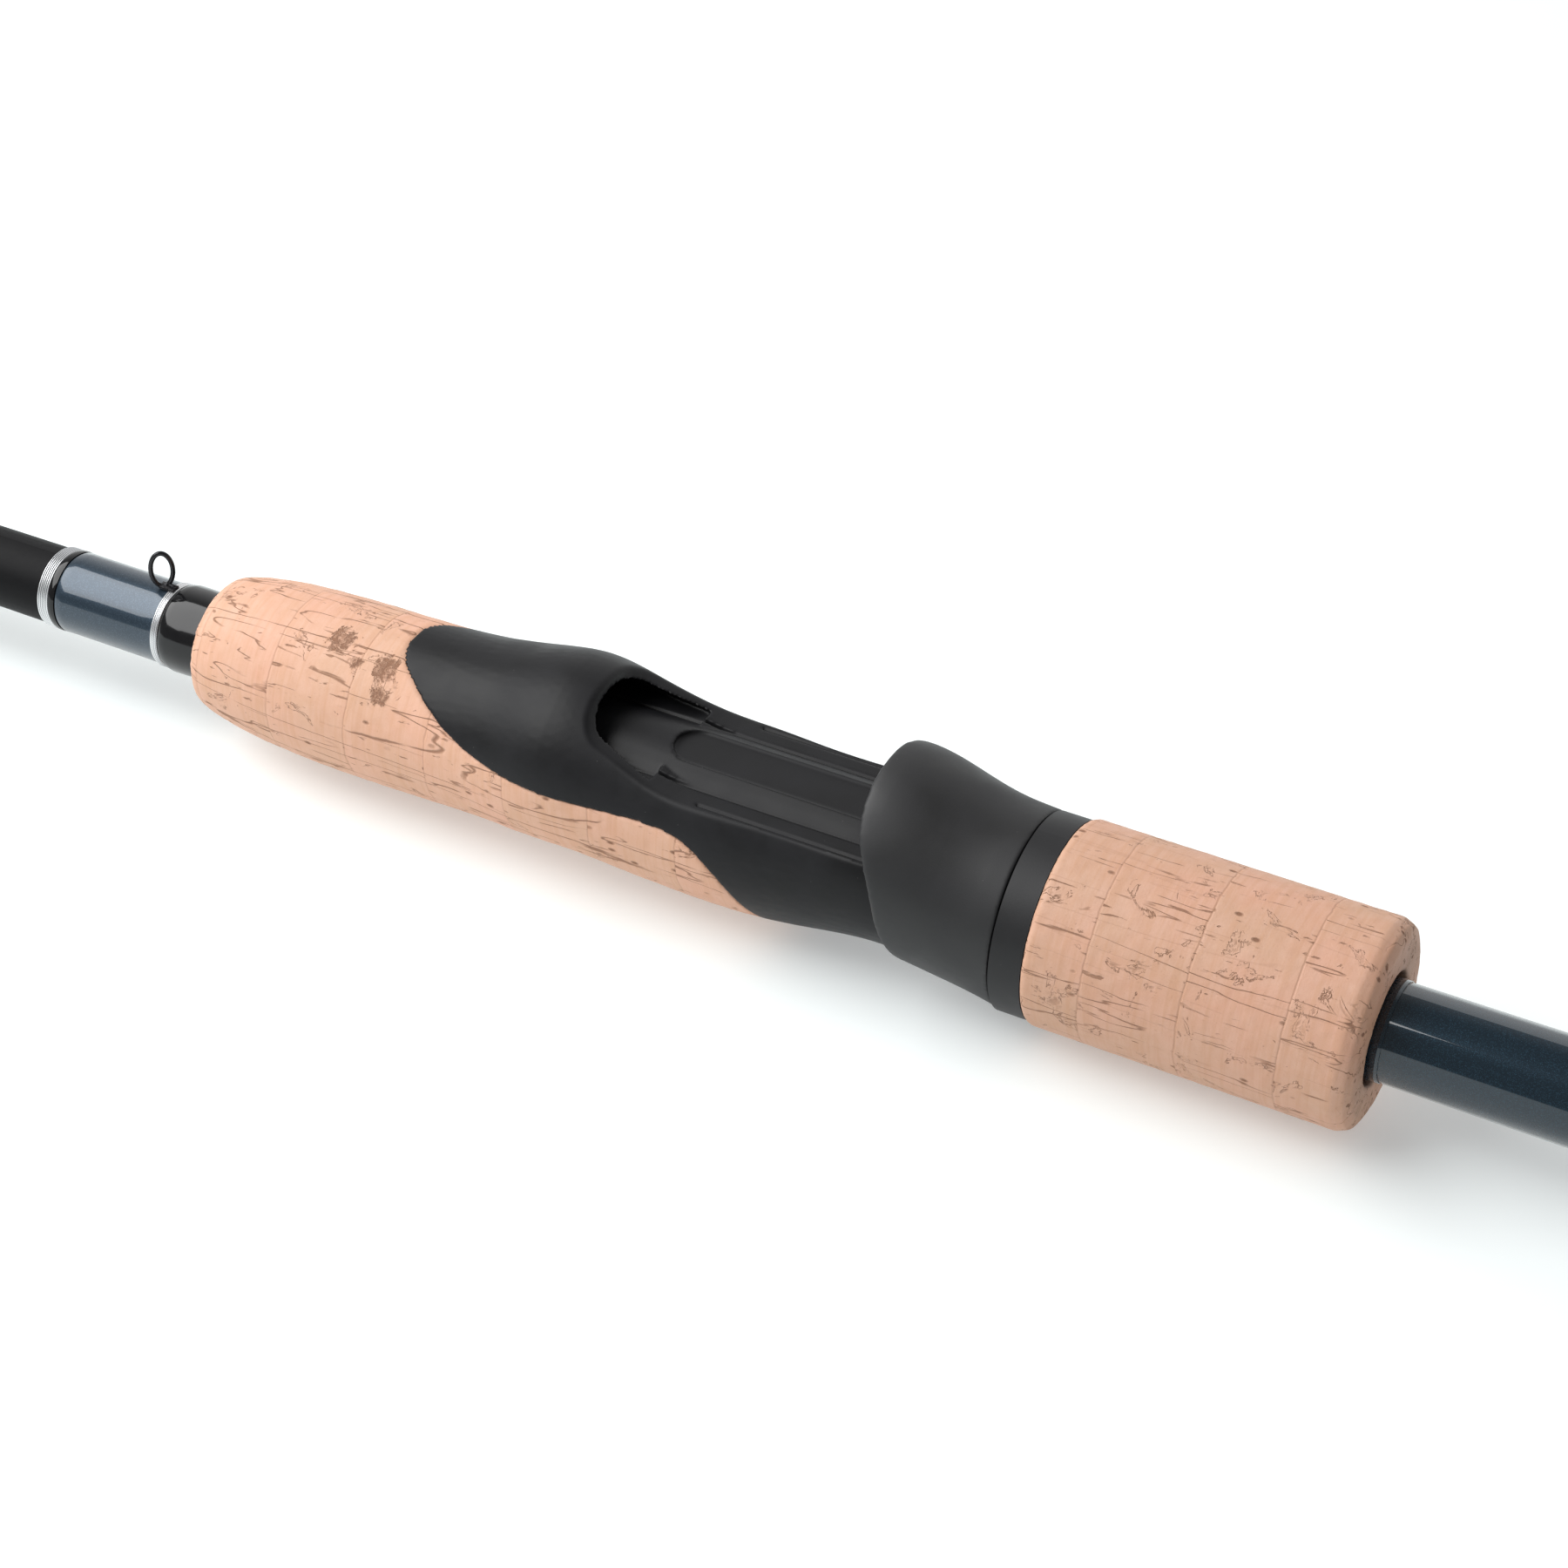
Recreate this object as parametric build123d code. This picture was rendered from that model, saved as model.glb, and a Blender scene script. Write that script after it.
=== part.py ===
"""Two-piece spinning rod with a split cork handle, a screw reel seat and seven line guides.

X runs along the rod from the butt's end face to the tip, +Z is the side of the seat and guides, sizes in mm.
Handle pieces are placed by their offset from the seat's datum, positive towards the tip.
"""
from build123d import *
import math
import os

# Overall
rod_length = 2100.0
tip_section_length = 1080.0
ferrule_x = rod_length - tip_section_length
ferrule_overlap = 55.0
seat_x = 307.0

# Blank
blank_gauge_x = 213.0
blank_gauge_radius = 6.43
blank_taper = 0.00413
blank_wall = 1.3
blank_start_x = 6.0
male_wall = 1.1
tip_base_wall = 1.05
tip_end_radius = 0.85
tip_end_bore = 0.4
tip_wall = 0.75
socket_spare = 5.0
socket_taper = 10.0
ferrule_clearance = 0.05
glue_gap = 0.05

# Butt end of the handle
cap_length = 15.0
cap_radius = 14.8
cap_round = 3.0
butt_grip_length = 88.0
butt_grip_rear_radius = 14.2
butt_grip_waist_radius = 12.2
butt_grip_front_radius = 10.0
butt_trim_length = 4.0
butt_trim_radius = 8.6

# Foregrip
foregrip_front = 87.0
seat_pipe_front = 62.0

# Seat pipe, which is also the threaded barrel
arbor_thickness = 1.17
pipe_wall = 1.7
pipe_bore = blank_gauge_radius + arbor_thickness
pipe_radius = pipe_bore + pipe_wall
hood_rear = -35.0
pipe_rear = hood_rear - 35.0
arbor_length = 18.0
arbor_inset = 2.0
middle_arbor = -5.0
shell_overlap = 0.1
pad_depth = 0.9
pad_height = pipe_radius - pad_depth
pad_half_width = 3.3
pad_front = 15.6
pad_break = -15.0
pad_break_width = 0.6
pad_break_depth = 0.35
shelf_depth = 2.0
shelf_height = pipe_radius - shelf_depth
shelf_groove_width = 0.5
shelf_groove_depth = 0.4
shelf_groove_y = 9.0
pipe_groove_y = 5.9
channel_mouth = 13.0
mouth_start = 8.0
cave_end = 43.0
cave_wall = 1.3
pipe_groove_front = cave_end - 2.0
pipe_groove_rear = -24.0
mouth_round = 1.0

# Screw thread of the barrel and nut
thread_pitch = 2.5
thread_depth = 0.7
thread_front = hood_rear - 3.0
thread_rear = pipe_rear + 2.0
nut_thread_ahead = 4.5
nut_thread_turns = 5.5
thread_clearance = 0.15
thread_root_width = 1.15
thread_crest_width = 0.65
thread_overlap = 0.12

# Sliding hood
hood_clearance = 0.2
hood_wall = 1.6
hood_tube_rear = hood_rear - 3.6
hood_tube_radius = pipe_radius + 1.6
snap_bead_rise = 0.4
snap_bead_radius = hood_tube_radius + snap_bead_rise
snap_bead_offset = hood_rear - 2.6
snap_bead_width = 0.9
rim_gap = 0.4
key_width = 3.0
key_depth = 0.6
key_clearance = 0.12
keyway_front = -21.9
key_front = keyway_front - 1.1
key_rear = hood_rear + 1.0
foot_pocket_front = -31.0
foot_pocket_end = -29.0

# Nut and rear cork
collar_rear = hood_rear - 4.4
collar_radius = pipe_radius + 3.85
collar_gap = 0.15
snap_clearance = 0.3
sleeve_radius = pipe_radius + 2.2
sleeve_rear = hood_rear - 25.0
nut_grip_rear = hood_rear - 46.8
nut_grip_radius = collar_radius + 0.4
nut_grip_round = 2.0
nut_grip_chamfer = 0.5
nut_grip_chamber = hood_rear - 40.0
nut_grip_hole = blank_gauge_radius + 0.87
chamber_clearance = 0.7

# Windings in front of the foregrip and behind the nut grip
wrap_thickness = 0.18
gloss_wrap_length = 8.0
gloss_wrap_thickness = 0.55
keeper_band_length = 0.9
keeper_band_thickness = 0.62
keeper_wrap_length = 16.8
front_band_length = 1.1
front_band_thickness = 0.3
front_trim_length = 1.9
front_trim_thickness = 0.32
rear_wrap_offset = nut_grip_rear + 0.8
rear_wrap_length = 2.0

# Hook keeper
keeper_wire = 0.35
keeper_half_width = 1.5
keeper_half_height = 2.7
keeper_turn = 40.0
keeper_leg_length = 6.0
keeper_ahead = 2.2

# Ferrule winding
ferrule_wrap_length = 22.0
ferrule_wrap_thickness = 0.35

# Line guides: distance from the tip, ring's outside diameter, height of its centre over the blank's axis
guides = [
    (1235.0, 25.0, 27.0),
    (930.0, 16.0, 19.5),
    (700.0, 12.0, 14.5),
    (515.0, 9.0, 10.8),
    (360.0, 7.0, 8.3),
    (225.0, 6.0, 7.0),
    (105.0, 5.5, 6.3),
]
band_thickness = 0.8
two_foot_diameter = 20.0
second_foot_ahead = 6.0

# Guide sizes that grow with the ring, each as a base and a share of the ring's outside diameter
ring_width = (1.2, 0.06)
ring_wall = (0.7, 0.05)
seat_half_width = (0.8, 0.04)
foot_half_width = (0.55, 0.045)
foot_thickness = (0.4, 0.018)
foot_near = (3.0, 0.42)
foot_length = (7.0, 0.5)
frame_wire = (0.32, 0.02)
band_share = 0.6
foot_gap = 0.02

# Windings over the guides' feet
guide_wrap_thickness = 0.35
guide_wrap_near = 3.2
guide_wrap_far = 3.0

# Tip top
tip_end_inset = 3.0
tip_ring_inset = 1.5
tip_plug_inset = 2.9
tip_tube_length = 14.0
tip_tube_start = rod_length - tip_end_inset - tip_tube_length
tip_tube_wall = 0.35
tip_tube_clearance = 0.03
tip_brace_start = 4.0
tip_brace_radius = 0.35
tip_ring_diameter = 5.5
tip_ring_rise = 4.1
tip_wrap_length = 3.0
tip_wrap_thickness = 0.5

# Stations of the front handle's outer skin: offset, thickness over the pipe, rise of the section's centre
skin_stations = [
    (87.0, -0.2, 0.0),
    (85.6, 0.45, 0.0),
    (83.0, 1.05, 0.0),
    (79.0, 1.7, 0.0),
    (73.0, 2.2, 0.0),
    (65.0, 2.5, 0.0),
    (57.0, 2.55, 0.1),
    (50.0, 2.6, 0.35),
    (44.0, 2.8, 0.8),
    (39.0, 3.2, 1.3),
    (34.0, 3.7, 1.8),
    (30.0, 3.85, 2.05),
    (26.0, 3.65, 1.8),
    (21.0, 3.3, 1.0),
    (15.0, 3.05, 0.35),
    (6.0, 3.0, 0.1),
    (-2.0, 2.6, 0.1),
    (-9.0, 2.2, 0.8),
    (-17.0, 1.8, 1.4),
    (-24.0, 1.7, 1.5),
]
# Side-view line where cork meets seat: offset, height
cork_line = [
    (56.3, 13.6),
    (55.3, 11.8),
    (52.0, 10.1),
    (47.6, 8.0),
    (41.5, 5.6),
    (34.0, 4.2),
    (24.5, 3.65),
    (14.0, 3.8),
    (8.6, 3.0),
    (4.2, -0.1),
    (0.6, -4.9),
    (-1.2, -8.5),
    (-2.4, -14.0),
]
# Side-view line of the sliding hood's front rim: offset, height
rim_line = [
    (-14.8, 19.0),
    (-14.9, 14.5),
    (-15.8, 11.8),
    (-17.9, 7.3),
    (-19.3, 1.5),
    (-20.4, -5.0),
    (-21.4, -13.5),
]
# Side-view line of the fixed hood's mouth, up from the channel's shelf: offset, height
mouth_line = [
    (mouth_start, shelf_height),
    (13.5, 7.75),
    (17.7, 8.9),
    (21.4, 10.2),
    (24.0, 11.5),
    (25.1, 12.8),
    (25.5, 14.2),
]
# Stations of the sliding hood's outer skin: offset, thickness over the pipe, rise
hood_stations = [
    (-12.0, 3.7, 3.4),
    (-16.0, 4.2, 3.6),
    (-20.0, 4.05, 3.25),
    (-24.0, 3.75, 2.35),
    (-28.0, 3.5, 1.4),
    (-32.0, 3.5, 0.7),
    (hood_rear, 3.7, 0.2),
]

reach = 40.0
side_reach = 20.0


def at(offset):
    """Place along the rod of an offset from the seat's datum."""
    return seat_x + offset


def blank_radius(x):
    return blank_gauge_radius - blank_taper * (x - blank_gauge_x)


def turned(points):
    """Solid of revolution about X of a closed outline of (x, radius) points."""
    outline = Polyline(*[(x, 0, radius) for x, radius in points], close=True)
    return revolve(make_face(outline), Axis.X)


def tube(x_a, x_b, outer, inner):
    return turned([(x_a, inner), (x_b, inner), (x_b, outer), (x_a, outer)])


def blank_core(x_a, x_b, gap):
    """Solid cone a gap larger than the blank, for cutting bores that fit it."""
    return turned([(x_a, 0), (x_a, blank_radius(x_a) + gap), (x_b, blank_radius(x_b) + gap), (x_b, 0)])


def sleeve_on_blank(x_a, x_b, outer_a, outer_b):
    """Ring glued on the blank with its own outside radius at each end."""
    inner_a = blank_radius(x_a) + glue_gap
    inner_b = blank_radius(x_b) + glue_gap
    return turned([(x_a, inner_a), (x_b, inner_b), (x_b, outer_b), (x_a, outer_a)])


def winding(x_a, x_b, thickness):
    """Thread winding on the blank, slightly crowned at its ends."""
    crown = min(0.4, (x_b - x_a) / 4)
    points = [(x_a, blank_radius(x_a)), (x_b, blank_radius(x_b))]
    points += [(x_b, blank_radius(x_b) + thickness * 0.6)]
    points += [(x_b - crown, blank_radius(x_b - crown) + thickness)]
    points += [(x_a + crown, blank_radius(x_a + crown) + thickness)]
    points += [(x_a, blank_radius(x_a) + thickness * 0.6)]
    return turned(points)


def lofted(stations, shrink=0.0):
    """Smooth skin through circles that stand across the rod."""
    sections = []
    for offset, thickness, rise in stations:
        plane = Plane(origin=(at(offset), 0, rise), x_dir=(0, 1, 0), z_dir=(1, 0, 0))
        sections.append(plane * Circle(pipe_radius + thickness - shrink))
    return loft(sections)


def side_block(curve, corners, shift=0.0, level_start=False):
    """Block as wide as the handle, bounded in side view by a smooth curve and then straight corners."""
    bend = [(at(offset + shift), 0, height) for offset, height in curve]
    ends = [(1, 0, 0), (0, 0, 1)] if level_start else None
    outline = [Spline(*bend, tangents=ends)]
    straight = [bend[-1]] + [(at(offset), 0, height) for offset, height in corners] + [bend[0]]
    outline.append(Polyline(*straight))
    face = make_face(Wire(Curve() + outline))
    return extrude(face, amount=side_reach, dir=(0, 1, 0), both=True)


def slab(x_a, x_b, y_a, y_b, z_a, z_b):
    centre = ((x_a + x_b) / 2, (y_a + y_b) / 2, (z_a + z_b) / 2)
    return Pos(*centre) * Box(abs(x_b - x_a), abs(y_b - y_a), abs(z_b - z_a))


def helical_ridge(x_front, x_rear, base_radius, tip_radius):
    """One-start right-hand ridge about X, from a base radius outwards or inwards to a tip radius."""
    length = x_front - x_rear
    path = Helix(pitch=thread_pitch, height=length, radius=base_radius)
    half_base = thread_root_width / 2
    half_tip = thread_crest_width / 2
    corners = [(base_radius, -half_base), (base_radius, half_base)]
    corners += [(tip_radius, half_tip), (tip_radius, -half_tip)]
    section = make_face(Polyline(*[(radius, 0, height) for radius, height in corners], close=True))
    ridge = sweep(section, path=path, is_frenet=True)
    return Pos(x_rear, 0, 0) * Rot(0, 90, 0) * ridge


def rod_between(start, end, radius):
    start = Vector(*start)
    run = Vector(*end) - start
    return Solid.make_cylinder(radius, run.length, Plane(origin=start, z_dir=run))


def butt_cap():
    outline = [(0, 0), (0, cap_radius - cap_round), (cap_round * 0.3, cap_radius - cap_round * 0.3)]
    outline += [(cap_round, cap_radius), (cap_length, cap_radius)]
    seat = blank_radius(blank_start_x) + glue_gap
    outline += [(cap_length, seat), (blank_start_x - glue_gap, seat), (blank_start_x - glue_gap, 0)]
    return turned(outline)


def butt_grip():
    start = cap_length
    end = start + butt_grip_length
    stations = [(start, butt_grip_rear_radius), (start + butt_grip_length * 0.55, butt_grip_waist_radius)]
    stations.append((end, butt_grip_front_radius))
    skin = Spline(*[(x, 0, radius) for x, radius in stations])
    front_corners = [(end, 0, butt_grip_front_radius), (end, 0, 0)]
    rest = Polyline(*front_corners, (start, 0, 0), (start, 0, butt_grip_rear_radius))
    solid = revolve(make_face(Wire(Curve() + [skin, rest])), Axis.X)
    return solid - blank_core(start - 1, end + 1, glue_gap)


def butt_trim():
    start = cap_length + butt_grip_length
    end = start + butt_trim_length
    return sleeve_on_blank(start, end, butt_trim_radius, blank_radius(end) + 0.5)


def butt_blank():
    end = ferrule_x + ferrule_overlap
    outline = [(blank_start_x, blank_radius(blank_start_x)), (end, blank_radius(end))]
    outline += [(end, blank_radius(end) - male_wall)]
    outline += [(blank_start_x, blank_radius(blank_start_x) - blank_wall)]
    return turned(outline)


def tip_blank():
    male_end = ferrule_x + ferrule_overlap
    socket_end = male_end + socket_spare
    socket_bore = blank_radius(male_end) + ferrule_clearance
    end = rod_length - tip_end_inset
    outline = [(ferrule_x, tip_radius(ferrule_x)), (socket_end + socket_taper, socket_bore + tip_wall)]
    outline += [(end, tip_end_radius), (end, tip_end_bore)]
    outline += [(socket_end, socket_bore), (male_end, socket_bore)]
    outline += [(ferrule_x, blank_radius(ferrule_x) + ferrule_clearance)]
    return turned(outline)


def tip_radius(x):
    """Outside radius of the tip section."""
    male_end = ferrule_x + ferrule_overlap
    neck_x = male_end + socket_spare + socket_taper
    base = blank_radius(ferrule_x) + tip_base_wall
    neck = blank_radius(male_end) + ferrule_clearance + tip_wall
    if x < neck_x:
        return base + (neck - base) * (x - ferrule_x) / (neck_x - ferrule_x)
    return neck + (tip_end_radius - neck) * (x - neck_x) / (rod_length - tip_end_inset - neck_x)


def surface_radius(x):
    return blank_radius(x) if x < ferrule_x else tip_radius(x)


def section_core(x_a, x_b):
    """Solid cone that fills the outer skin of whichever blank is there."""
    return turned([(x_a, 0), (x_a, surface_radius(x_a)), (x_b, surface_radius(x_b)), (x_b, 0)])


def ferrule_wrap():
    x_a = ferrule_x + 0.5
    x_b = x_a + ferrule_wrap_length
    outline = [(x_a, tip_radius(x_a)), (x_b, tip_radius(x_b))]
    outline += [(x_b, tip_radius(x_b) + ferrule_wrap_thickness / 2)]
    outline += [(x_b - 1, tip_radius(x_b - 1) + ferrule_wrap_thickness)]
    outline += [(x_a + 1, tip_radius(x_a + 1) + ferrule_wrap_thickness)]
    outline += [(x_a, tip_radius(x_a) + ferrule_wrap_thickness / 2)]
    return turned(outline)


def seat_side():
    """Everything behind and above the line where cork meets seat."""
    return side_block(cork_line, [(-reach, -side_reach), (-reach, side_reach), (cork_line[0][0], side_reach)])


def ahead_of_rim(shift):
    """Everything in front of the sliding hood's rim line."""
    return side_block(rim_line, [(100.0, -side_reach), (100.0, side_reach)], shift)


def channel_cut():
    """Space above the foot channel's shelf, up to the fixed hood's mouth."""
    corners = [(mouth_line[-1][0], side_reach), (-reach, side_reach), (-reach, shelf_height)]
    return side_block(mouth_line, corners, level_start=True)


def fixed_hood_cave():
    """Pocket under the fixed hood that takes the front end of a reel's foot."""
    stations = [station for station in skin_stations if channel_mouth < station[0] < cave_end + 2]
    inside = lofted(stations, cave_wall)
    above = slab(at(channel_mouth), at(cave_end), -side_reach, side_reach, shelf_height, side_reach)
    return inside & above


def pad_recess():
    """Flat-bottomed recess with a round front end along the top of the pipe, where a reel's foot rests."""
    front = at(pad_front) - pad_half_width
    rear = at(hood_rear)
    nose = Pos(front, 0, 0) * Circle(pad_half_width)
    strip = Pos((front + rear) / 2, 0, 0) * Rectangle(front - rear, 2 * pad_half_width)
    recess = Pos(0, 0, pad_height) * extrude(nose + strip, amount=side_reach - pad_height)
    low = pad_height - pad_break_depth
    break_end = at(pad_break) + pad_break_width
    return recess + slab(at(pad_break), break_end, -pad_half_width, pad_half_width, low, side_reach)


def barrel_thread():
    base = pipe_radius - thread_depth - thread_overlap
    return helical_ridge(at(thread_front), at(thread_rear), base, pipe_radius)


def seat_pipe():
    threaded_from = at(thread_front) + thread_pitch / 2
    root = pipe_radius - thread_depth
    outline = [(at(seat_pipe_front), pipe_bore), (at(seat_pipe_front), pipe_radius)]
    outline += [(threaded_from, pipe_radius), (threaded_from, root)]
    outline += [(at(pipe_rear), root), (at(pipe_rear), pipe_bore)]
    return turned(outline)


def keyway():
    """Slot along the underside of the barrel that keeps the sliding hood from turning."""
    half = key_width / 2
    low = -pipe_radius - 1
    return slab(at(keyway_front), at(pipe_rear) - 1, -half, half, low, -pipe_radius + key_depth)


def seat_shell():
    """The seat's outer body, open along the top from the fixed hood's mouth rearwards."""
    shell = lofted(skin_stations) & seat_side() & ahead_of_rim(rim_gap)
    shell -= channel_cut()
    mouth = [edge for edge in shell.edges() if edge.bounding_box().max.Z > mouth_line[-2][1] + 1]
    mouth = [edge for edge in mouth if edge.center().X < at(mouth_line[-1][0]) + 1]
    shell = fillet(mouth, mouth_round) - fixed_hood_cave()
    return shell - tube(at(-reach), at(foregrip_front), pipe_radius - shell_overlap, 0)


def reel_seat():
    pipe = seat_pipe() + barrel_thread() - keyway()
    body = pipe + seat_shell() - pad_recess()
    half = shelf_groove_width / 2
    low = shelf_height - shelf_groove_depth
    for side in (-1, 1):
        y = side * shelf_groove_y
        body -= slab(at(-reach), at(mouth_start), y - half, y + half, low, side_reach)
        y = side * (pipe_groove_y + half)
        body -= slab(at(pipe_groove_rear), at(pipe_groove_front), y - half, y + half, low, pipe_radius)
    return body


def sliding_hood():
    skin = lofted(hood_stations)
    skin = skin - ahead_of_rim(0.0)
    bore_radius = pipe_radius + hood_clearance
    tube_part = tube(at(hood_tube_rear), at(hood_rear) + 0.5, hood_tube_radius, bore_radius)
    bead_mid = at(snap_bead_offset)
    half = snap_bead_width / 2
    bead = turned(
        [
            (bead_mid - half, hood_tube_radius - 0.2),
            (bead_mid + half, hood_tube_radius - 0.2),
            (bead_mid, snap_bead_radius),
        ]
    )
    bore = tube(at(hood_tube_rear) - 1, at(0), bore_radius, 0)
    pocket = lofted([station for station in hood_stations if station[0] > foot_pocket_front], hood_wall)
    pocket &= slab(at(0), at(foot_pocket_end), -side_reach, side_reach, shelf_height - rim_gap, side_reach)
    lug = slab(
        at(key_front),
        at(key_rear),
        -key_width / 2 + key_clearance,
        key_width / 2 - key_clearance,
        -bore_radius - 0.3,
        -pipe_radius + key_depth - key_clearance,
    )
    return skin + tube_part + bead - bore - pocket + lug


def nut_collar():
    bore_radius = pipe_radius + hood_clearance
    counterbore = hood_tube_radius + snap_clearance
    front = at(hood_rear) - collar_gap
    shoulder = at(hood_tube_rear) - snap_clearance
    groove_front = at(snap_bead_offset) + snap_bead_width / 2 + snap_clearance
    groove_rear = at(snap_bead_offset) - snap_bead_width / 2 - snap_clearance
    groove_radius = snap_bead_radius + snap_clearance
    outline = [(front, counterbore), (front, collar_radius), (at(collar_rear), collar_radius)]
    outline += [(at(collar_rear), sleeve_radius), (at(sleeve_rear), sleeve_radius)]
    outline += [(at(sleeve_rear), bore_radius)]
    outline += [(shoulder, bore_radius), (shoulder, counterbore), (groove_rear, counterbore)]
    outline += [(groove_rear, groove_radius), (groove_front, groove_radius), (groove_front, counterbore)]
    return turned(outline) + nut_thread()


def nut_thread():
    """Ridge inside the nut, placed half a turn out from the barrel's so that it runs in the groove."""
    crest = pipe_radius - thread_depth + thread_clearance
    base = pipe_radius + hood_clearance + thread_overlap
    rear = at(thread_rear) + nut_thread_ahead * thread_pitch
    return helical_ridge(rear + nut_thread_turns * thread_pitch, rear, base, crest)


def nut_grip():
    front = at(collar_rear)
    rear = at(nut_grip_rear)
    chamber = at(nut_grip_chamber)
    sleeve_end = at(sleeve_rear)
    chamber_radius = pipe_radius + chamber_clearance
    ease = nut_grip_round * 0.3
    outline = [(front, sleeve_radius), (front, nut_grip_radius - nut_grip_chamfer)]
    outline += [(front - nut_grip_chamfer, nut_grip_radius), (rear + nut_grip_round, nut_grip_radius)]
    outline += [(rear + ease, nut_grip_radius - ease), (rear, nut_grip_radius - nut_grip_round)]
    outline += [(rear, nut_grip_hole), (chamber, nut_grip_hole), (chamber, chamber_radius)]
    outline += [(sleeve_end, chamber_radius), (sleeve_end, sleeve_radius)]
    return turned(outline)


def foregrip():
    cork = lofted(skin_stations) - seat_side()
    cork &= slab(at(-reach), at(foregrip_front), -side_reach, side_reach, -side_reach, side_reach)
    bore = turned(
        [
            (at(-reach), 0),
            (at(-reach), pipe_radius),
            (at(seat_pipe_front), pipe_radius),
            (at(seat_pipe_front), 0),
        ]
    )
    return cork - bore - blank_core(at(seat_pipe_front) - 1, at(foregrip_front) + 1, glue_gap)


def arbor(middle):
    """Ring that fills the gap between the blank and the seat's pipe."""
    outer = pipe_bore - glue_gap
    half = arbor_length / 2
    return sleeve_on_blank(at(middle) - half, at(middle) + half, outer, outer)


def hook_keeper():
    """Oval wire loop standing over the blank, turned about Z, with two feet that run back under the band."""
    x = at(foregrip_front) + gloss_wrap_length + keeper_ahead
    top = blank_radius(x) + wrap_thickness + keeper_wire
    turn = math.radians(keeper_turn)
    sideways = (math.cos(turn), math.sin(turn), 0)
    facing = (math.sin(turn), -math.cos(turn), 0)
    loop_plane = Plane(origin=(x, 0, top + keeper_half_height), x_dir=sideways, z_dir=facing)
    path = loop_plane * Ellipse(keeper_half_width, keeper_half_height).wire()
    start = path @ 0
    section = Plane(origin=start, z_dir=path % 0) * Circle(keeper_wire)
    loop = sweep(section, path=path)
    feet = []
    for side in (-1, 1):
        y = side * keeper_wire * 1.1
        feet.append(rod_between((x + 0.4, y, top), (x - keeper_leg_length, y, top), keeper_wire))
    return loop + feet[0] + feet[1]


def sized(rule, diameter):
    """Size that grows with a guide ring's outside diameter."""
    base, share = rule
    return base + share * diameter


def guide_ring(x, diameter, height):
    width = sized(ring_width, diameter)
    wall = sized(ring_wall, diameter)
    inner = diameter / 2 - wall
    profile = Rectangle(width, wall)
    profile = fillet(profile.vertices().filter_by(lambda vertex: vertex.Y < 0), min(wall, width) * 0.3)
    plane = Plane(origin=(x, 0, height + inner + wall / 2), x_dir=(1, 0, 0), z_dir=(0, -1, 0))
    return revolve(plane * profile, Axis((x, 0, height), (1, 0, 0)))


def guide_band(x, diameter, height):
    width = sized(ring_width, diameter) * band_share
    plane = Plane(origin=(x - width / 2, 0, height), z_dir=(1, 0, 0))
    return extrude(plane * (Circle(diameter / 2 + band_thickness) - Circle(diameter / 2)), amount=width)


def ring_seat(x, diameter, height):
    """Cylinder that clears the ceramic ring out of its frame."""
    half_width = sized(seat_half_width, diameter)
    plane = Plane(origin=(x - half_width, 0, height), z_dir=(1, 0, 0))
    return extrude(plane * Circle(diameter / 2), amount=2 * half_width)


def foot_bounds(x_a, x_b, diameter):
    """Low corner and high corner of a guide's foot on top of the blank."""
    half_width = sized(foot_half_width, diameter)
    low = surface_radius(min(x_a, x_b)) + foot_gap
    high = low + sized(foot_thickness, diameter)
    return (min(x_a, x_b), -half_width, low), (max(x_a, x_b), half_width, high)


def guide_feet(x, diameter):
    """Each foot's near and far end; the large guide has two feet and the others one, towards the tip."""
    length = sized(foot_length, diameter)
    near = sized(foot_near, diameter)
    feet = [(x + near, x + near + length)]
    if diameter > two_foot_diameter:
        rear = x - near - second_foot_ahead
        feet.append((rear, rear - length))
    return feet


def guide_frame(x, diameter, height):
    frame = guide_band(x, diameter, height)
    wire = sized(frame_wire, diameter)
    rim = diameter / 2 + band_thickness / 2
    for near, far in guide_feet(x, diameter):
        low, high = foot_bounds(near, far, diameter)
        frame += slab(low[0], high[0], low[1], high[1], low[2], high[2])
        toward = 1 if far > near else -1
        angle = math.radians(112.5 if far > near else 126)
        for side in (-1, 1):
            ankle = (near + toward * 1.5 * wire, side * (high[1] - wire * 0.8), high[2] - wire * 0.4)
            shoulder = (x, side * rim * math.sin(angle), height + rim * math.cos(angle))
            frame += rod_between(ankle, shoulder, wire)
    return frame - ring_seat(x, diameter, height)


def guide_wrap(x, diameter):
    """Winding over each foot, as one solid a foot."""
    wraps = []
    for near, far in guide_feet(x, diameter):
        toward = 1 if far > near else -1
        low, high = foot_bounds(near, far, diameter)
        ends = (near + toward * guide_wrap_near, far + toward * guide_wrap_far)
        x_a = min(ends)
        x_b = max(ends)
        thickness = high[2] - low[2]
        radius = surface_radius(x_a) + thickness / 2 + guide_wrap_thickness
        plane = Plane(origin=(x_a, 0, thickness / 2), z_dir=(1, 0, 0))
        body = extrude(plane * Circle(radius), amount=x_b - x_a)
        body -= section_core(x_a - 1, x_b + 1)
        body -= slab(low[0], high[0], low[1], high[1], low[2], high[2])
        wraps.append(body)
    return wraps


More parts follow.
